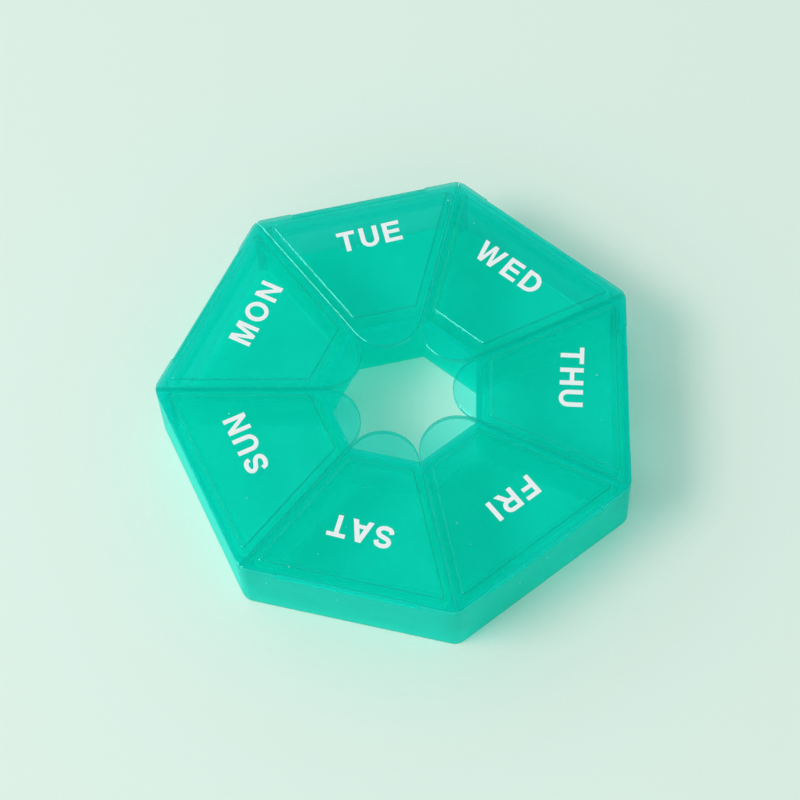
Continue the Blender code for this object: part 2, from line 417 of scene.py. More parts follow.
def milky(material, waves, depth_and_painted_shade):
    """Clear plastic with a milky share, a little uneven along the flow of the melt."""
    flow = node(material, "MapRange", Value=waves, From_Min=FLOW_LOW, From_Max=FLOW_HIGH,
                To_Min=1 - FLOW_SHARE, To_Max=1 + FLOW_SHARE)
    milkiness = node(material, "Attribute", {"attribute_name": "milk"}).outputs["Fac"]
    share = node(material, "Math", {"operation": "MULTIPLY"}, _0=milkiness, _1=flow.outputs[0]).outputs[0]
    colour = node(material, "Mix", {"data_type": "RGBA"}, _0=depth_and_painted_shade, _6=MILK, _7=DEEP_MILK_AND_PAINTED_SHADE).outputs[2]
    front = node(material, "BsdfDiffuse", Color=colour)
    back = node(material, "BsdfTranslucent", Color=colour)
    milk = node(material, "MixShader", _0=MILK_TO_THE_BACK, _1=front.outputs[0], _2=back.outputs[0])
    clear = node(material, "BsdfTransparent", Color=linear("#ffffff"))
    return node(material, "MixShader", _0=share, _1=clear.outputs[0], _2=milk.outputs[0]).outputs[0]


print("milk, linear:", [round(c, 3) for c in MILK[:3]], "and deep:", [round(c, 3) for c in DEEP_MILK_AND_PAINTED_SHADE[:3]])

# %% [markdown]
# ## What moulding and use leave on it
# A polished mould gives a gloss that is never quite flat: the melt cools a little unevenly
# as it flows, which leaves waves some millimetres long and two hundredths of a millimetre
# deep. A box that lies in a bag gets fine scratches, which are a fifth of a millimetre wide
# here, as coarse as they need to be to show. They only dull the gloss a little, as on a box
# that is nearly new. It also gathers a few specks of dust.

# %% Scratches
SCRATCH_WIDTH = 0.22 * MM
SCRATCH_LENGTH = 9 * MM
SCRATCH_STARTS, SCRATCH_FULL = 0.72, 0.78
SCRATCH_TURNS = (25, -58)


def scratches(material, place, turn):
    """Fine lines in one direction, 1 on a line and 0 beside it."""
    stretched = node(material, "Mapping", Vector=place, Rotation=(0, 0, math.radians(turn)),
                     Scale=(1 / SCRATCH_WIDTH, 1 / SCRATCH_LENGTH, 1 / SCRATCH_LENGTH))
    grain = node(material, "TexNoise", Vector=stretched.outputs[0], Scale=1.0, Detail=0.0)
    return node(material, "MapRange", Value=grain.outputs[0],
                From_Min=SCRATCH_STARTS, From_Max=SCRATCH_FULL).outputs[0]


print("a scratch, mm:", round(SCRATCH_WIDTH / MM, 2), "wide, up to", round(SCRATCH_LENGTH / MM), "long")

# %% Dust
DUST_SPACING = 4 * MM
DUST_SIZE = 0.09 * MM


def specks(material, place, outside):
    """Dust: the few places where a point of a cloud of points lies on the outside surface."""
    cloud = node(material, "TexVoronoi", Vector=place, Scale=1 / DUST_SPACING)
    near = node(material, "Math", {"operation": "LESS_THAN"},
                _0=cloud.outputs["Distance"], _1=DUST_SIZE / DUST_SPACING)
    return node(material, "Math", {"operation": "MULTIPLY"}, _0=near.outputs[0], _1=outside).outputs[0]


print("a speck of dust, mm:", round(DUST_SIZE / MM, 2), "and room between specks:", round(DUST_SPACING / MM))

# %% Gloss on the outside
GLOSS = linear("#40fff0")
DEEP_GLOSS = linear("#90fff8")
POLYPROPYLENE_IOR = 1.49
WAVE_DEPTH = 0.02 * MM
SCRATCH_DULLING = 0.05


def glossed(material, body, waves, depth_and_painted_shade, outside, roughness):
    """The body under a gloss that is a little wavy, and duller along the scratches."""
    place = node(material, "TexCoord").outputs["Object"]
    first, second = [scratches(material, place, turn) for turn in SCRATCH_TURNS]
    lines = node(material, "Math", {"operation": "MAXIMUM"}, _0=first, _1=second)
    dulled = node(material, "MapRange", Value=lines.outputs[0],
                  To_Min=roughness, To_Max=roughness + SCRATCH_DULLING).outputs[0]
    relief = node(material, "Bump", Height=waves, Distance=WAVE_DEPTH, Strength=1.0).outputs[0]
    fresnel = node(material, "Fresnel", IOR=POLYPROPYLENE_IOR)
    mirror = node(material, "Math", {"operation": "MULTIPLY"}, _0=fresnel.outputs[0], _1=outside)
    gleam = node(material, "Mix", {"data_type": "RGBA"}, _0=depth_and_painted_shade, _6=GLOSS, _7=DEEP_GLOSS).outputs[2]
    shine = node(material, "BsdfGlossy", Color=gleam, Roughness=dulled, Normal=relief)
    return node(material, "MixShader", _0=mirror.outputs[0], _1=body, _2=shine.outputs[0]).outputs[0]


print("gloss, linear:", [round(c, 3) for c in GLOSS[:3]], "and deep:", [round(c, 3) for c in DEEP_GLOSS[:3]])

# %% [markdown]
# ## The plastic put together
# From the outside in there is dust, then gloss, then milk, and then the dye in the depth of
# the plastic. A ray on its way to the lamp skips the first three. The tray, the lids and the
# films share this plastic and differ in roughness only: the lids' half of the mould is
# polished most, and a film is drawn so thin that its skin is a little satin.

# %% The plastic
FLOW_SIZE = 9 * MM
DUST_COLOUR = linear("#e6efec")
LAMP_SHARE = linear("#ffedeb")


def clear_plastic(name, roughness):
    """Clear dyed plastic. The mesh says how milky and how deep in colour each face is."""
    material, output = new_material(name)
    place = node(material, "TexCoord").outputs["Object"]
    waves = node(material, "TexNoise", Vector=place, Scale=1 / FLOW_SIZE, Detail=1.0).outputs[0]
    depth_and_painted_shade = node(material, "Attribute", {"attribute_name": "depth_and_painted_shade"}).outputs["Fac"]
    backfacing = node(material, "NewGeometry").outputs["Backfacing"]
    outside = node(material, "Math", {"operation": "SUBTRACT"}, _0=1.0, _1=backfacing).outputs[0]
    plastic = glossed(material, milky(material, waves, depth_and_painted_shade), waves, depth_and_painted_shade, outside, roughness)
    dust = node(material, "BsdfDiffuse", Color=DUST_COLOUR)
    seen = node(material, "MixShader", _0=specks(material, place, outside), _1=plastic, _2=dust.outputs[0])
    to_the_lamp = node(material, "BsdfTransparent", Color=LAMP_SHARE)
    lamp_ray = node(material, "LightPath").outputs["Is Shadow Ray"]
    whole = node(material, "MixShader", _0=lamp_ray, _1=seen.outputs[0], _2=to_the_lamp.outputs[0])
    plug(material, whole.outputs[0], output)
    inside = node(material, "VolumeAbsorption", Color=DYE, Density=DYE_DENSITY)
    plug(material, inside.outputs[0], output, "Volume")
    return material


print("waves of the melt, mm:", round(FLOW_SIZE / MM))

# %% The three finishes
TRAY_ROUGHNESS = 0.12
LID_ROUGHNESS = 0.08
FILM_ROUGHNESS = 0.2
tray_plastic = clear_plastic("polypropylene_tray", TRAY_ROUGHNESS)
lid_plastic = clear_plastic("polypropylene_lid", LID_ROUGHNESS)
film_plastic = clear_plastic("polypropylene_film", FILM_ROUGHNESS)
print("plastics made:", [m.name for m in (tray_plastic, lid_plastic, film_plastic)])

# %% [markdown]
# ## Pad-print ink
# The names of the days are pad-printed: a soft pad lifts white ink from an etched plate and
# presses it onto the lid. The film of ink is about two hundredths of a millimetre thick,
# satin rather than glossy, and slightly uneven where the pad left less of it.

# %% White ink
INK_GRAIN = 0.35 * MM
INK_RELIEF = 0.004 * MM
INK_ROUGHNESS = 0.42
ink, ink_output = new_material("pad_print_ink")
ink_place = node(ink, "TexCoord").outputs["Object"]
ink_grain = node(ink, "TexNoise", Vector=ink_place, Scale=1 / INK_GRAIN, Detail=2.0).outputs[0]
ink_colour = node(ink, "Mix", {"data_type": "RGBA"}, _0=ink_grain,
                  _6=linear("#dfeeee"), _7=linear("#f3f6f6")).outputs[2]
ink_relief = node(ink, "Bump", Height=ink_grain, Distance=INK_RELIEF, Strength=1.0).outputs[0]
ink_shader = node(ink, "BsdfPrincipled", Base_Color=ink_colour, Roughness=INK_ROUGHNESS, Normal=ink_relief)
plug(ink, ink_shader.outputs[0], ink_output)
print("grain of the ink, mm:", round(INK_GRAIN / MM, 2))

# %% [markdown]
# ## The tray
# The tray is one moulding: a floor, a wall round the seven sides, a wall round the open
# centre and seven dividers. Its parting line is the rim, and so every outside edge that the
# fingers meet is rounded, the lowest one most. Each compartment is a pocket with round
# corners and a rounded floor, from which a pill is easy to take. The rim is cut down where
# each hinge film is rooted. The walls are the usual ones for such a box, about 1.2 mm, which
# is thick enough to be stiff and thin enough to cool in a few seconds in the mould.
#
# The tray could be cut from a block with Booleans. Rings that are joined keep every rounded
# edge even and every flat in one plane, and clear plastic needs that, because it would show
# each fold in a face, also from behind.
#
# Three of the dividers have a gate mark underneath, where the plastic came into the mould: a
# shallow dimple with the broken pip in it, which keeps the pip off the table.

# %% Sizes of the tray
WALL = 1.2 * MM
FLOOR = 1.2 * MM
DIVIDER = 1.3 * MM
COMPARTMENT_RADIUS = 1.1 * MM
TRAY_EDGE_RADIUS = 0.5 * MM
RIM_EDGE_RADIUS = 0.2 * MM
COMPARTMENT_FLOOR_RADIUS = 0.35 * MM
print("a compartment is this deep, mm:", round((TRAY_HEIGHT - FLOOR) / MM, 1))

# %% Gate marks
GATED_DAYS = ("sun", "tue", "thu")
GATE_RADIUS = 1.6 * MM
GATE_DEPTH = 0.15 * MM
PIP_RADIUS = 0.45 * MM
PIP_HEIGHT = 0.1 * MM
GATE_STEPS = 32
gate_apothem = (HOLE_APOTHEM + BOX_APOTHEM) / 2


def gate_mark(shape, day):
    """A dimple in the underside with its pip. Returns the dimple's mouth."""
    centre = Matrix.Rotation(facing(day) + HALF_TURN, 2) @ Vector((gate_apothem, 0))
    rounds = [(GATE_RADIUS, 0), (GATE_RADIUS - GATE_DEPTH, GATE_DEPTH),
              (PIP_RADIUS + PIP_HEIGHT, GATE_DEPTH), (PIP_RADIUS, GATE_DEPTH - PIP_HEIGHT)]
    rings = [ring(shape, arc(centre, radius, 0, math.tau, GATE_STEPS)[:-1], height)
             for radius, height in rounds]
    join(shape, rings)
    shape.faces.new(rings[-1])
    return rings[0]


print("gate marks beside:", GATED_DAYS, "at, mm from the centre:", round(gate_apothem / MM, 1))

# %% Tray
FLAT = 0.99
TRAY_MILK = 0.55
WALL_MILK = 0.6
WALL_DEPTH = 0.7


def tray_zone(face):
    """The outside of the wall is the milkiest. Its rounded foot is deepest in colour, as painted shade where
    it meets the table.
    """
    outside = face.calc_center_median().xy.length > BOX_APOTHEM - WALL / 2
    if not outside or abs(face.normal.z) > FLAT:
        return TRAY_MILK, 0.0
    # the rounded foot's full depth of colour is painted shade where the wall meets the table
    return WALL_MILK, 1.0 if face.normal.z < FLAT - 1 else WALL_DEPTH


def make_tray():
    """The mesh of the tray, from the outer wall inward."""
    shape = bmesh.new()
    outside = [ring(shape, box_outline(inset), drop) for inset, drop in reversed(quarter(TRAY_EDGE_RADIUS))]
    outside.append(ring(shape, box_outline(0), SEAT_HEIGHT))
    outside.append(ring(shape, box_outline(0, HINGE_RECESS), SEAT_HEIGHT))
    outside += [ring(shape, box_outline(inset, HINGE_RECESS), TRAY_HEIGHT - drop)
                for inset, drop in quarter(RIM_EDGE_RADIUS)]
    hole = [ring(shape, hole_outline(inset), drop) for inset, drop in reversed(quarter(RIM_EDGE_RADIUS))]
    hole += [ring(shape, hole_outline(inset), TRAY_HEIGHT - drop)
             for inset, drop in quarter(RIM_EDGE_RADIUS)]
    join(shape, outside)
    join(shape, hole)
    compartment = trapezoid(HOLE_APOTHEM + WALL, BOX_APOTHEM - WALL, DIVIDER / 2, COMPARTMENT_RADIUS)
    mouths = []
    for day in hinges:
        turned = Matrix.Rotation(facing(day), 2)
        pocket = [ring(shape, [turned @ p for p in compartment(-inset)], TRAY_HEIGHT - drop)
                  for inset, drop in reversed(quarter(RIM_EDGE_RADIUS))]
        pocket += [ring(shape, [turned @ p for p in compartment(inset)], FLOOR + drop)
                   for inset, drop in quarter(COMPARTMENT_FLOOR_RADIUS)]
        join(shape, pocket)
        shape.faces.new(pocket[-1])
        mouths.append(pocket[0])
    sheet(shape, outside[-1], hole[-1], *mouths)
    sheet(shape, outside[0], hole[0], *[gate_mark(shape, day) for day in GATED_DAYS])
    mesh = to_mesh(shape, "tray_moulding", tray_zone)
    mesh.transform(Matrix.Translation(ring_centre))
    return mesh


tray = piece("tray_moulding", make_tray(), tray_plastic)
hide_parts("tray")
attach(tray, "tray")

# %% [markdown]
# ## The lids
# A lid is a plate with a raised panel on top and a thin skirt below, which plugs into the
# compartment and holds the lid shut by its fit. The inner end of the plate reaches over the
# open centre as a round finger tab. Over the stretch of its hinge the plate is drawn back,
# to leave the film room to bend. A shut lid rests on the rim with a twentieth of a
# millimetre of air below it, as two mouldings do. All seven lids are the same moulding, and
# so one mesh is drawn once in a sector of its own and turned to each day.

# %% Sizes of a lid
PLATE_THICKNESS = 1.1 * MM
PLATE_REST = 0.05 * MM
PLATE_EDGE_RADIUS = 0.15 * MM
PANEL_RISE = 0.4 * MM
PANEL_SIDE_INSET = 1.8 * MM
PANEL_OUTER_INSET = 2.2 * MM
PANEL_INNER_INSET = 3.0 * MM
PANEL_CORNER_RADIUS = 0.4 * MM
PANEL_SLOPE = 0.06 * MM
BEVEL = 0.18 * MM
FOOT_RADIUS = 0.08 * MM
PLATE_BOTTOM = TRAY_HEIGHT + PLATE_REST
PLATE_TOP = PANEL_TOP - PANEL_RISE
CEILING = PANEL_TOP - PLATE_THICKNESS
print("a lid's plate, mm: from", round(PLATE_BOTTOM / MM, 2), "up to", round(PLATE_TOP / MM, 2))

# %% Sizes of a skirt
SKIRT_BOTTOM = lid_low.z
SKIRT_THICKNESS = 0.9 * MM
SKIRT_FIT = 0.4 * MM
SKIRT_HINGE_FIT = 1.2 * MM
SKIRT_EDGE_RADIUS = 0.2 * MM
print("a skirt goes down into the compartment by, mm:", round((TRAY_HEIGHT - SKIRT_BOTTOM) / MM, 1))

# %% Lids
LID_MILK = 0.14
UNDERSIDE_MILK = 0.04
# bevels and sides: extra milk and a deeper colour, painted light and shade along the lids' edges
BEVEL_PAINTED_EDGE_MILK = 0.44
SIDE_PAINTED_EDGE_MILK = 0.7
SIDE_PAINTED_SHADE_DEPTH = 0.6


def lid_zone(face):
    """The flats are clearest. Bevels and sides are milkier and deeper in colour: painted light and shade
    along the edges.
    """
    if face.normal.z < -FLAT or face.calc_center_median().z < PLATE_BOTTOM:
        return UNDERSIDE_MILK, 0.0
    if face.normal.z > FLAT:
        return LID_MILK, 0.0
    # painted light and shade: the edges' milk and deep colour stand in for light that plastic bends there
    bevelled = face.normal.z > 1 - FLAT
    return (BEVEL_PAINTED_EDGE_MILK, 1.0) if bevelled else (SIDE_PAINTED_EDGE_MILK, SIDE_PAINTED_SHADE_DEPTH)


def make_lid():
    """The mesh of a lid: its plate, the raised panel on top and the skirt below."""
    shape = bmesh.new()
    plate = [ring(shape, plate_outline(inset), PLATE_BOTTOM + drop)
             for inset, drop in reversed(quarter(PLATE_EDGE_RADIUS))]
    plate += [ring(shape, plate_outline(inset), PLATE_TOP - drop) for inset, drop in bevel(BEVEL)]
    panel_outline = trapezoid(HOLE_APOTHEM + PANEL_INNER_INSET, BOX_APOTHEM - PANEL_OUTER_INSET,
                              PANEL_SIDE_INSET, PANEL_CORNER_RADIUS)
    panel = [ring(shape, panel_outline(inset - PANEL_SLOPE), PLATE_TOP + rise)
             for inset, rise in foot(FOOT_RADIUS)]
    panel += [ring(shape, panel_outline(inset), PANEL_TOP - drop) for inset, drop in bevel(BEVEL)]
    skirt_inner = HOLE_APOTHEM + WALL + SKIRT_FIT
    skirt_outer = BOX_APOTHEM - WALL - SKIRT_HINGE_FIT
    skirt_side = DIVIDER / 2 + SKIRT_FIT
    outer_face = trapezoid(skirt_inner, skirt_outer, skirt_side, COMPARTMENT_RADIUS)
    inner_face = trapezoid(skirt_inner + SKIRT_THICKNESS, skirt_outer - SKIRT_THICKNESS,
                           skirt_side + SKIRT_THICKNESS, COMPARTMENT_RADIUS - SKIRT_THICKNESS)
    skirt = [ring(shape, outer_face(inset), PLATE_BOTTOM - drop) for inset, drop in foot(FOOT_RADIUS)]
    skirt += [ring(shape, outer_face(inset), SKIRT_BOTTOM + drop)
              for inset, drop in quarter(SKIRT_EDGE_RADIUS)]
    skirt += [ring(shape, inner_face(-inset), SKIRT_BOTTOM + drop)
              for inset, drop in reversed(quarter(SKIRT_EDGE_RADIUS))]
    skirt += [ring(shape, inner_face(inset), CEILING - drop) for inset, drop in quarter(FOOT_RADIUS)]
    for rings in (plate, panel, skirt):
        join(shape, rings)
    shape.faces.new(panel[-1])
    shape.faces.new(skirt[-1])
    sheet(shape, plate[-1], panel[0])
    sheet(shape, plate[0], skirt[0])
    return to_mesh(shape, "lid_moulding", lid_zone)


lid_mesh = make_lid()
for day in hinges:
    mesh = lid_mesh.copy()
    mesh.transform(sector(day))
    lid = piece(f"lid_moulding_{day}", mesh, lid_plastic)
    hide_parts(f"lid_{day}")
    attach(lid, f"lid_{day}")

# %% [markdown]
# ## The hinge films
# A living hinge is a strip of the same plastic, so thin that it bends for years. Bending
# makes it paler, because the stretched plastic turns milky. The strip is rooted in the
# tray's rim and in the edge of the lid, is thinnest in the middle, and bulges outward a
# little when the lid is shut. When the lid opens, the strip bends over in an arch. It could
# ride on the tray or on the lid, but would then tear away from the other one, and so it is
# drawn here in its shut shape and rides on neither.

# %% The film's section
HINGE_HEIGHT = hinges["sat"].z
FILM_ROOT = 0.3 * MM
FILM_MIDDLE = 0.18 * MM
FILM_BULGE = 0.16 * MM
FILM_STEPS = 20
FILM_SINKS_DOWN = 0.03 * MM
FILM_SINKS_IN = 0.02 * MM
film_half_height = HINGE_HEIGHT - SEAT_HEIGHT + FILM_SINKS_DOWN
film_root_x = BOX_APOTHEM - HINGE_RECESS - FILM_SINKS_IN


def film_section():
    """The strip's section as (x, z) points: up its outside and down its inside."""
    outer, inner = [], []
    for i in range(FILM_STEPS + 1):
        along = 2 * i / FILM_STEPS - 1
        middle = Vector((film_root_x + FILM_BULGE * (1 - along**2),
                         HINGE_HEIGHT + film_half_height * along))
        slope = Vector((-2 * FILM_BULGE * along, film_half_height)).normalized()
        across = Vector((slope.y, -slope.x)) * (FILM_MIDDLE + (FILM_ROOT - FILM_MIDDLE) * along**2) / 2
        outer.append(middle + across)
        inner.append(middle - across)
    return outer + inner[::-1]


print("film, mm: thick", FILM_MIDDLE / MM, "to", FILM_ROOT / MM, "long", round(FILM_LENGTH / MM, 1))

# %% Hinge films
FILM_END_RADIUS = 0.12 * MM
FILM_END_SHARE = 0.9
FILM_MILK = 0.35


def make_film():
    """The mesh of a film, its section drawn along y and a little smaller at both ends."""
    shape = bmesh.new()
    section = film_section()
    centre = sum(section, Vector((0, 0))) / len(section)
    half = FILM_LENGTH / 2
    rings = []
    for y, share in ((-half, FILM_END_SHARE), (-half + FILM_END_RADIUS, 1),
                     (half - FILM_END_RADIUS, 1), (half, FILM_END_SHARE)):
        points = [centre + (p - centre) * share for p in section]
        rings.append([shape.verts.new((p.x, y, p.y)) for p in points])
    join(shape, rings)
    for end in (rings[0], rings[-1]):
        for i in range(FILM_STEPS):
            shape.faces.new((end[i], end[i + 1], end[-2 - i], end[-1 - i]))
    return to_mesh(shape, "hinge_film", lambda face: (FILM_MILK, 0.0))


film_mesh = make_film()
for day in hinges:
    mesh = film_mesh.copy()
    mesh.transform(sector(day))
    film = piece(f"hinge_film_{day}", mesh, film_plastic)
    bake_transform(film)
    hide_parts(f"hinge_{day}")

# %% [markdown]
# ## The printed days
# The letters are plain upright capitals without serifs, 4.65 mm tall with strokes of about
# 0.95 mm. A text object would bring in a font with a character of its own, and so they are
# drawn here stroke by stroke. Each letter is one or two outlines in millimetres with its
# foot at zero. A word is laid out along the reading direction, which runs round the ring
# with the letters' heads towards the wall.

# %% Strokes
CAPITAL = 4.65
STEM = 0.96
BAR = 0.86
MIDDLE = CAPITAL / 2
ROUND_STEPS = 24
BRUSH_STEPS = 6


def turn_of(x, y, width, height, start, end):
    """Points on an ellipse from one angle to another, in degrees."""
    angles = [math.radians(start + (end - start) * i / ROUND_STEPS) for i in range(ROUND_STEPS + 1)]
    return [(x + width * math.cos(a), y + height * math.sin(a)) for a in angles]


def brush(points, width):
    """The outline of a stroke of even width along a smooth line through points."""
    line = []
    for i in range(len(points) - 1):
        p = [Vector(points[max(i - 1, 0)]), Vector(points[i]), Vector(points[i + 1]),
             Vector(points[min(i + 2, len(points) - 1)])]
        for step in range(BRUSH_STEPS):
            t = step / BRUSH_STEPS
            line.append(0.5 * (2 * p[1] + (p[2] - p[0]) * t + (2 * p[0] - 5 * p[1] + 4 * p[2] - p[3]) * t**2
                               + (3 * p[1] - p[0] - 3 * p[2] + p[3]) * t**3))
    line.append(Vector(points[-1]))
    left, right = [], []
    for i, here in enumerate(line):
        ahead = (line[min(i + 1, len(line) - 1)] - line[max(i - 1, 0)]).normalized()
        across = Vector((-ahead.y, ahead.x)) * width / 2
        left.append(here + across)
        right.append(here - across)
    return left + right[::-1]


print("a stem is this share of a capital's height:", round(STEM / CAPITAL, 2))

# %% The alphabet, in millimetres
S_LINE = [(3.1, 3.22), (2.78, 3.93), (1.82, 4.22), (0.86, 3.94), (0.56, 3.3), (0.98, 2.71), (1.86, 2.38),
          (2.74, 2.02), (3.12, 1.34), (2.76, 0.7), (1.78, 0.43), (0.8, 0.72), (0.46, 1.46)]
ALPHABET = {
    "A": [[(0, 0), (1.05, 0), (1.37, 0.95), (2.83, 0.95), (3.15, 0), (4.2, 0), (2.65, CAPITAL),
           (1.55, CAPITAL)],
          [(1.63, 1.75), (2.57, 1.75), (2.1, 3.2)]],
    "D": [[(0, 0), *turn_of(1.65, MIDDLE, 2.2, MIDDLE, -90, 90), (0, CAPITAL)],
          [(STEM, BAR), *turn_of(1.6, MIDDLE, 1.27, MIDDLE - BAR, -90, 90), (STEM, CAPITAL - BAR)]],
    "E": [[(0, 0), (3.6, 0), (3.6, BAR), (STEM, BAR), (STEM, 1.95), (3.3, 1.95), (3.3, 2.8), (STEM, 2.8),
           (STEM, CAPITAL - BAR), (3.52, CAPITAL - BAR), (3.52, CAPITAL), (0, CAPITAL)]],
    "F": [[(0, 0), (STEM, 0), (STEM, 1.85), (2.95, 1.85), (2.95, 2.7), (STEM, 2.7), (STEM, CAPITAL - BAR),
           (3.25, CAPITAL - BAR), (3.25, CAPITAL), (0, CAPITAL)]],
    "H": [[(0, 0), (STEM, 0), (STEM, 1.95), (3.8 - STEM, 1.95), (3.8 - STEM, 0), (3.8, 0), (3.8, CAPITAL),
           (3.8 - STEM, CAPITAL), (3.8 - STEM, 2.82), (STEM, 2.82), (STEM, CAPITAL), (0, CAPITAL)]],
    "I": [[(0, 0), (STEM, 0), (STEM, CAPITAL), (0, CAPITAL)]],
    "M": [[(0, 0), (0.88, 0), (0.88, 3.45), (1.84, 0), (2.66, 0), (3.62, 3.45), (3.62, 0), (4.5, 0),
           (4.5, CAPITAL), (3.17, CAPITAL), (2.25, 1.42), (1.33, CAPITAL), (0, CAPITAL)]],
    "N": [[(0, 0), (0.9, 0), (0.9, 3.12), (2.78, 0), (3.7, 0), (3.7, CAPITAL), (2.8, CAPITAL), (2.8, 1.53),
           (0.93, CAPITAL), (0, CAPITAL)]],
    "O": [turn_of(2.22, MIDDLE, 2.22, MIDDLE + 0.07, 0, 345),
          turn_of(2.22, MIDDLE, 1.25, MIDDLE - 0.8, 0, 345)],
    "R": [[(0, 0), (STEM, 0), (STEM, 1.83), (1.72, 1.83), (2.82, 0), (3.98, 0), (2.78, 1.96),
           *turn_of(2.36, 3.24, 1.36, 1.41, -62, 90), (0, CAPITAL)],
          [(STEM, 2.66), *turn_of(2.26, 3.23, 0.5, 0.57, -90, 90), (STEM, 3.8)]],
    "S": [brush(S_LINE, 0.9)],
    "T": [[(1.37, 0), (2.33, 0), (2.33, CAPITAL - BAR), (3.7, CAPITAL - BAR), (3.7, CAPITAL), (0, CAPITAL),
           (0, CAPITAL - BAR), (1.37, CAPITAL - BAR)]],
    "U": [[(0, CAPITAL), *turn_of(1.86, 1.7, 1.86, 1.77, 180, 360), (3.72, CAPITAL), (3.72 - STEM, CAPITAL),
           *turn_of(1.86, 1.66, 0.9, 0.9, 360, 180), (STEM, CAPITAL)]],
    "W": [[(0, CAPITAL), (1.02, CAPITAL), (1.76, 1.3), (2.44, CAPITAL), (3.36, CAPITAL), (4.04, 1.3),
           (4.78, CAPITAL), (5.8, CAPITAL), (4.56, 0), (3.56, 0), (2.9, 3.25), (2.24, 0), (1.24, 0)]],
}
print("letters drawn:", "".join(ALPHABET))

# %% [markdown]
# Type looks even when the white between letters looks even, and so the letters with open
# sides stand closer. The seven words were printed in one pass with the pad a little off the
# middle. Each word's middle and lean are given as they are on the lids: along the reading
# direction, outward from the centre, and in degrees.

# %% Words on the lids
LETTER_GAP = 1.06
TUCK = {"A": 0.35, "T": 0.12, "W": 0.1, "U": -0.04}
PRINT = {
    "sun": (1.88, 32.9, 0), "mon": (2.15, 34.05, 0), "tue": (0.57, 35.35, 1.8), "wed": (-0.42, 34.42, 0.3),
    "thu": (-2.12, 33.35, -2.7), "fri": (-1.85, 32.5, 0), "sat": (0.42, 32.3, -2.2),
}
INK_LIFT = 0.005 * MM
INK_THICKNESS = 0.02 * MM


def word_outlines(word):
    """The word's outlines in mm about its own middle, letter by letter, and its width."""
    outlines, x = [], 0
    for letter in word:
        x -= TUCK.get(letter, 0)
        strokes = ALPHABET[letter]
        outlines.append([[Vector((px + x, py - MIDDLE)) for px, py in outline] for outline in strokes])
        x += max(px for outline in strokes for px, _ in outline) + LETTER_GAP - TUCK.get(letter, 0)
    left = min(p.x for letter in outlines for outline in letter for p in outline)
    right = max(p.x for letter in outlines for outline in letter for p in outline)
    middle = Vector(((left + right) / 2, 0))
    return [[[p - middle for p in outline] for outline in letter] for letter in outlines], right - left


def print_word(day):
    """The mesh of a day's print. It is drawn in millimetres and then laid on the lid's panel."""
    shape = bmesh.new()
    letters, width = word_outlines(day.upper())
    for outlines in letters:
        lower = [ring(shape, outline, 0) for outline in outlines]
        upper = [ring(shape, outline, INK_THICKNESS / MM) for outline in outlines]
        for low, high in zip(lower, upper):
            join(shape, (low, high))
        sheet(shape, *lower)
        sheet(shape, *upper)
    mesh = to_mesh(shape, f"printed_{day}")
    along, outward, lean = PRINT[day]
    place = Matrix.Translation((outward * MM, -along * MM, PANEL_TOP + INK_LIFT))
    turn = Matrix.Rotation(math.radians(lean - 90), 4, "Z")
    mesh.transform(sector(day) @ place @ turn @ Matrix.Scale(MM, 4))
    print(f"{day}: {width:.1f} mm wide")
    return mesh


for day in hinges:
    word = piece(f"printed_{day}", print_word(day), ink)
    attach(word, f"lid_{day}")

# %% [markdown]
# ## The table
# The box stands on a pale table top with matt paint. A roller leaves a fine grain in the
# paint, which breaks up reflections, and so the box's shadow and its green glow lie on it
# softly. The grain is a texture and isn't modelled, because it is finer than any shape that
# would show here.

# %% Matt paint
PAINT_GRAIN = 0.8 * MM
PAINT_RELIEF = 0.01 * MM
PAINT_ROUGHNESS = 0.7
paint, paint_output = new_material("painted_table_top")
paint_place = node(paint, "TexCoord").outputs["Object"]
paint_grain = node(paint, "TexNoise", Vector=paint_place, Scale=1 / PAINT_GRAIN, Detail=3.0).outputs[0]
paint_colour = node(paint, "Mix", {"data_type": "RGBA"}, _0=paint_grain,
                    _6=linear("#dbefe5"), _7=linear("#def2e8")).outputs[2]
paint_relief = node(paint, "Bump", Height=paint_grain, Distance=PAINT_RELIEF, Strength=0.5).outputs[0]
painted = node(paint, "BsdfPrincipled", Base_Color=paint_colour, Roughness=PAINT_ROUGHNESS,
               Normal=paint_relief)
plug(paint, painted.outputs[0], paint_output)
print("grain of the paint, mm:", round(PAINT_GRAIN / MM, 2))

# %% Table
TABLE_SIZE = 6
TABLE_DROP = 0.05 * MM
bpy.ops.mesh.primitive_plane_add(size=TABLE_SIZE, location=(0, 0, -TABLE_DROP))
table = bpy.context.object
table.name = "table"
table.data.materials.append(paint)
print("table, m:", TABLE_SIZE)

# %% [markdown]
# ## Light
# One large soft lamp on the left, wide like a window and far enough away to light the table
# evenly, gives much of the light and the thin white lines on the bevels. A small lamp would
# give hard shadows and points of light instead. The rest comes from a room that is pale near
# the horizon, darker overhead and brighter on the window's side. Both together light a
# surface so that its colour shows about as it is written.

# %% Directions
def from_the_ring(azimuth, elevation):
    """The direction that has this azimuth and elevation in degrees."""
    a, e = math.radians(azimuth), math.radians(elevation)
    return Vector((math.cos(a) * math.cos(e), math.sin(a) * math.cos(e), math.sin(e)))


print("azimuth 90 on the horizon is:", [round(v, 3) for v in from_the_ring(90, 0)])

# %% Lamp
LAMP_AZIMUTH = 209
LAMP_ELEVATION = 45
LAMP_DISTANCE = 2.5
LAMP_WIDTH = 1.3
LAMP_HEIGHT = 0.85
LAMP_POWER = 34.5

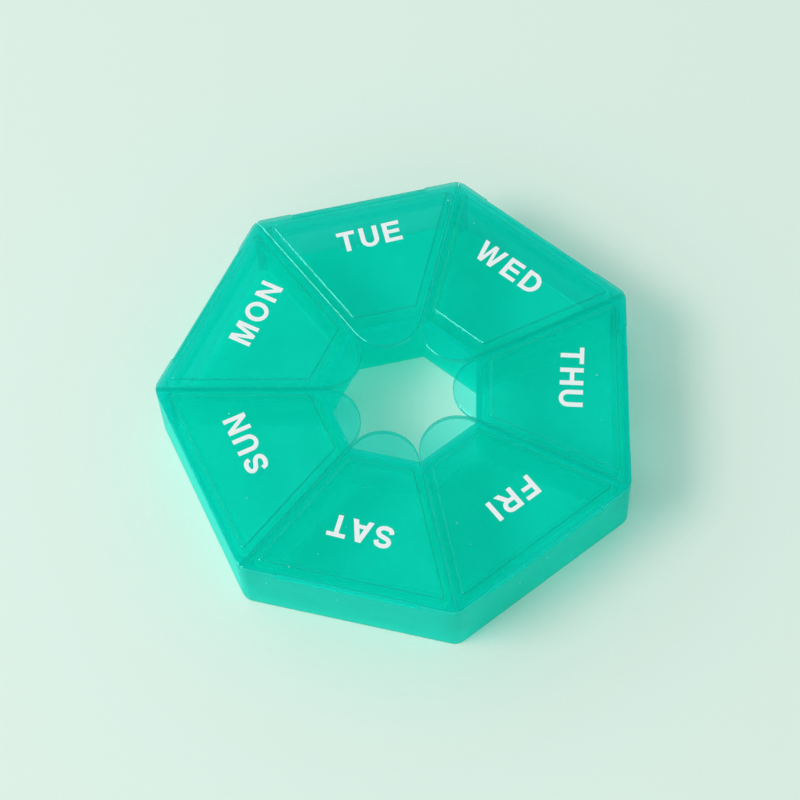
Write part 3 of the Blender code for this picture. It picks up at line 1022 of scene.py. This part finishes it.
softbox = bpy.data.lights.new("softbox", "AREA")
softbox.shape = "RECTANGLE"
softbox.size = LAMP_WIDTH
softbox.size_y = LAMP_HEIGHT
softbox.energy = LAMP_POWER
lamp = bpy.data.objects.new("softbox", softbox)
bpy.context.scene.collection.objects.link(lamp)
towards_lamp = from_the_ring(LAMP_AZIMUTH, LAMP_ELEVATION)
lamp.location = ring_centre + towards_lamp * LAMP_DISTANCE
lamp.rotation_euler = towards_lamp.to_track_quat("Z", "Y").to_euler()
print("the lamp looks this wide, degrees:", round(math.degrees(LAMP_WIDTH / LAMP_DISTANCE), 1))

# %% Brightness of the room
HORIZON = 0.85
OVERHEAD = 0.42
PALE_TO = math.sin(math.radians(28))
DARK_FROM = math.sin(math.radians(55))
WINDOW_AZIMUTH = 205
WINDOW_SHARE = 0.5
print("room light at the horizon and overhead:", HORIZON, OVERHEAD)

# %% Room light
room = bpy.data.worlds.new("room")
bpy.context.scene.world = room
room.use_nodes = True
room.node_tree.nodes.clear()
room_output = node(room, "OutputWorld")
direction = node(room, "TexCoord").outputs["Generated"]
height = node(room, "SeparateXYZ", Vector=direction).outputs["Z"]
level = node(room, "MapRange", Value=height, From_Min=PALE_TO, From_Max=DARK_FROM,
             To_Min=HORIZON, To_Max=OVERHEAD)
towards_window = node(room, "VectorMath", {"operation": "DOT_PRODUCT"}, _0=direction,
                      _1=from_the_ring(WINDOW_AZIMUTH, 0)).outputs["Value"]
side = node(room, "MapRange", Value=towards_window, From_Min=-1.0,
            To_Min=1 - WINDOW_SHARE, To_Max=1 + WINDOW_SHARE)
strength = node(room, "Math", {"operation": "MULTIPLY"}, _0=level.outputs[0], _1=side.outputs[0])
background = node(room, "Background", Color=linear("#ffffff"), Strength=strength.outputs[0])
plug(room, background.outputs[0], room_output)
print("the window's side is brighter than the far one by:", (1 + WINDOW_SHARE) / (1 - WINDOW_SHARE))

# %% [markdown]
# ## Camera
# The camera looks down at the box with a long lens. Its place comes from the seven outer
# corners of the box and the corners of the open centre, which fix the angle, the distance
# and the lens together. Light crosses many thin walls one behind another here, and each
# wall is two surfaces, so the limit of see-through surfaces on a ray is raised: past it a
# ray would end in black. The colours are shown by the plain Standard transform.

# %% Where the camera stands
CAMERA_TARGET = Vector((-1.156, -1.039, 8.0)) * MM
CAMERA_AZIMUTH = -72.836
CAMERA_ELEVATION = 62.544
CAMERA_DISTANCE = 499.55 * MM
CAMERA_ROLL = -3.899
CAMERA_LENS = 111.887
SENSOR_WIDTH = 36
CLIP_START = 0.01
lens_angle = 2 * math.atan(SENSOR_WIDTH / 2 / CAMERA_LENS)
print("the lens sees this wide, degrees:", round(math.degrees(lens_angle), 1))

# %% Camera
camera_data = bpy.data.cameras.new("camera")
camera_data.lens = CAMERA_LENS
camera_data.sensor_width = SENSOR_WIDTH
camera_data.clip_start = CLIP_START
camera = bpy.data.objects.new("camera", camera_data)
bpy.context.scene.collection.objects.link(camera)
towards_camera = from_the_ring(CAMERA_AZIMUTH, CAMERA_ELEVATION)
camera.location = CAMERA_TARGET + towards_camera * CAMERA_DISTANCE
camera.rotation_euler = (towards_camera.to_track_quat("Z", "Y").to_matrix()
                         @ Matrix.Rotation(math.radians(CAMERA_ROLL), 3, "Z")).to_euler()
bpy.context.scene.camera = camera
print("camera at, mm:", [round(v / MM, 1) for v in camera.location])

# %% Colours and see-through surfaces
SEE_THROUGH_SURFACES = 48
bpy.context.scene.view_settings.view_transform = "Standard"
bpy.context.scene.cycles.transparent_max_bounces = SEE_THROUGH_SURFACES
print("see-through surfaces on a ray, at most:", SEE_THROUGH_SURFACES)
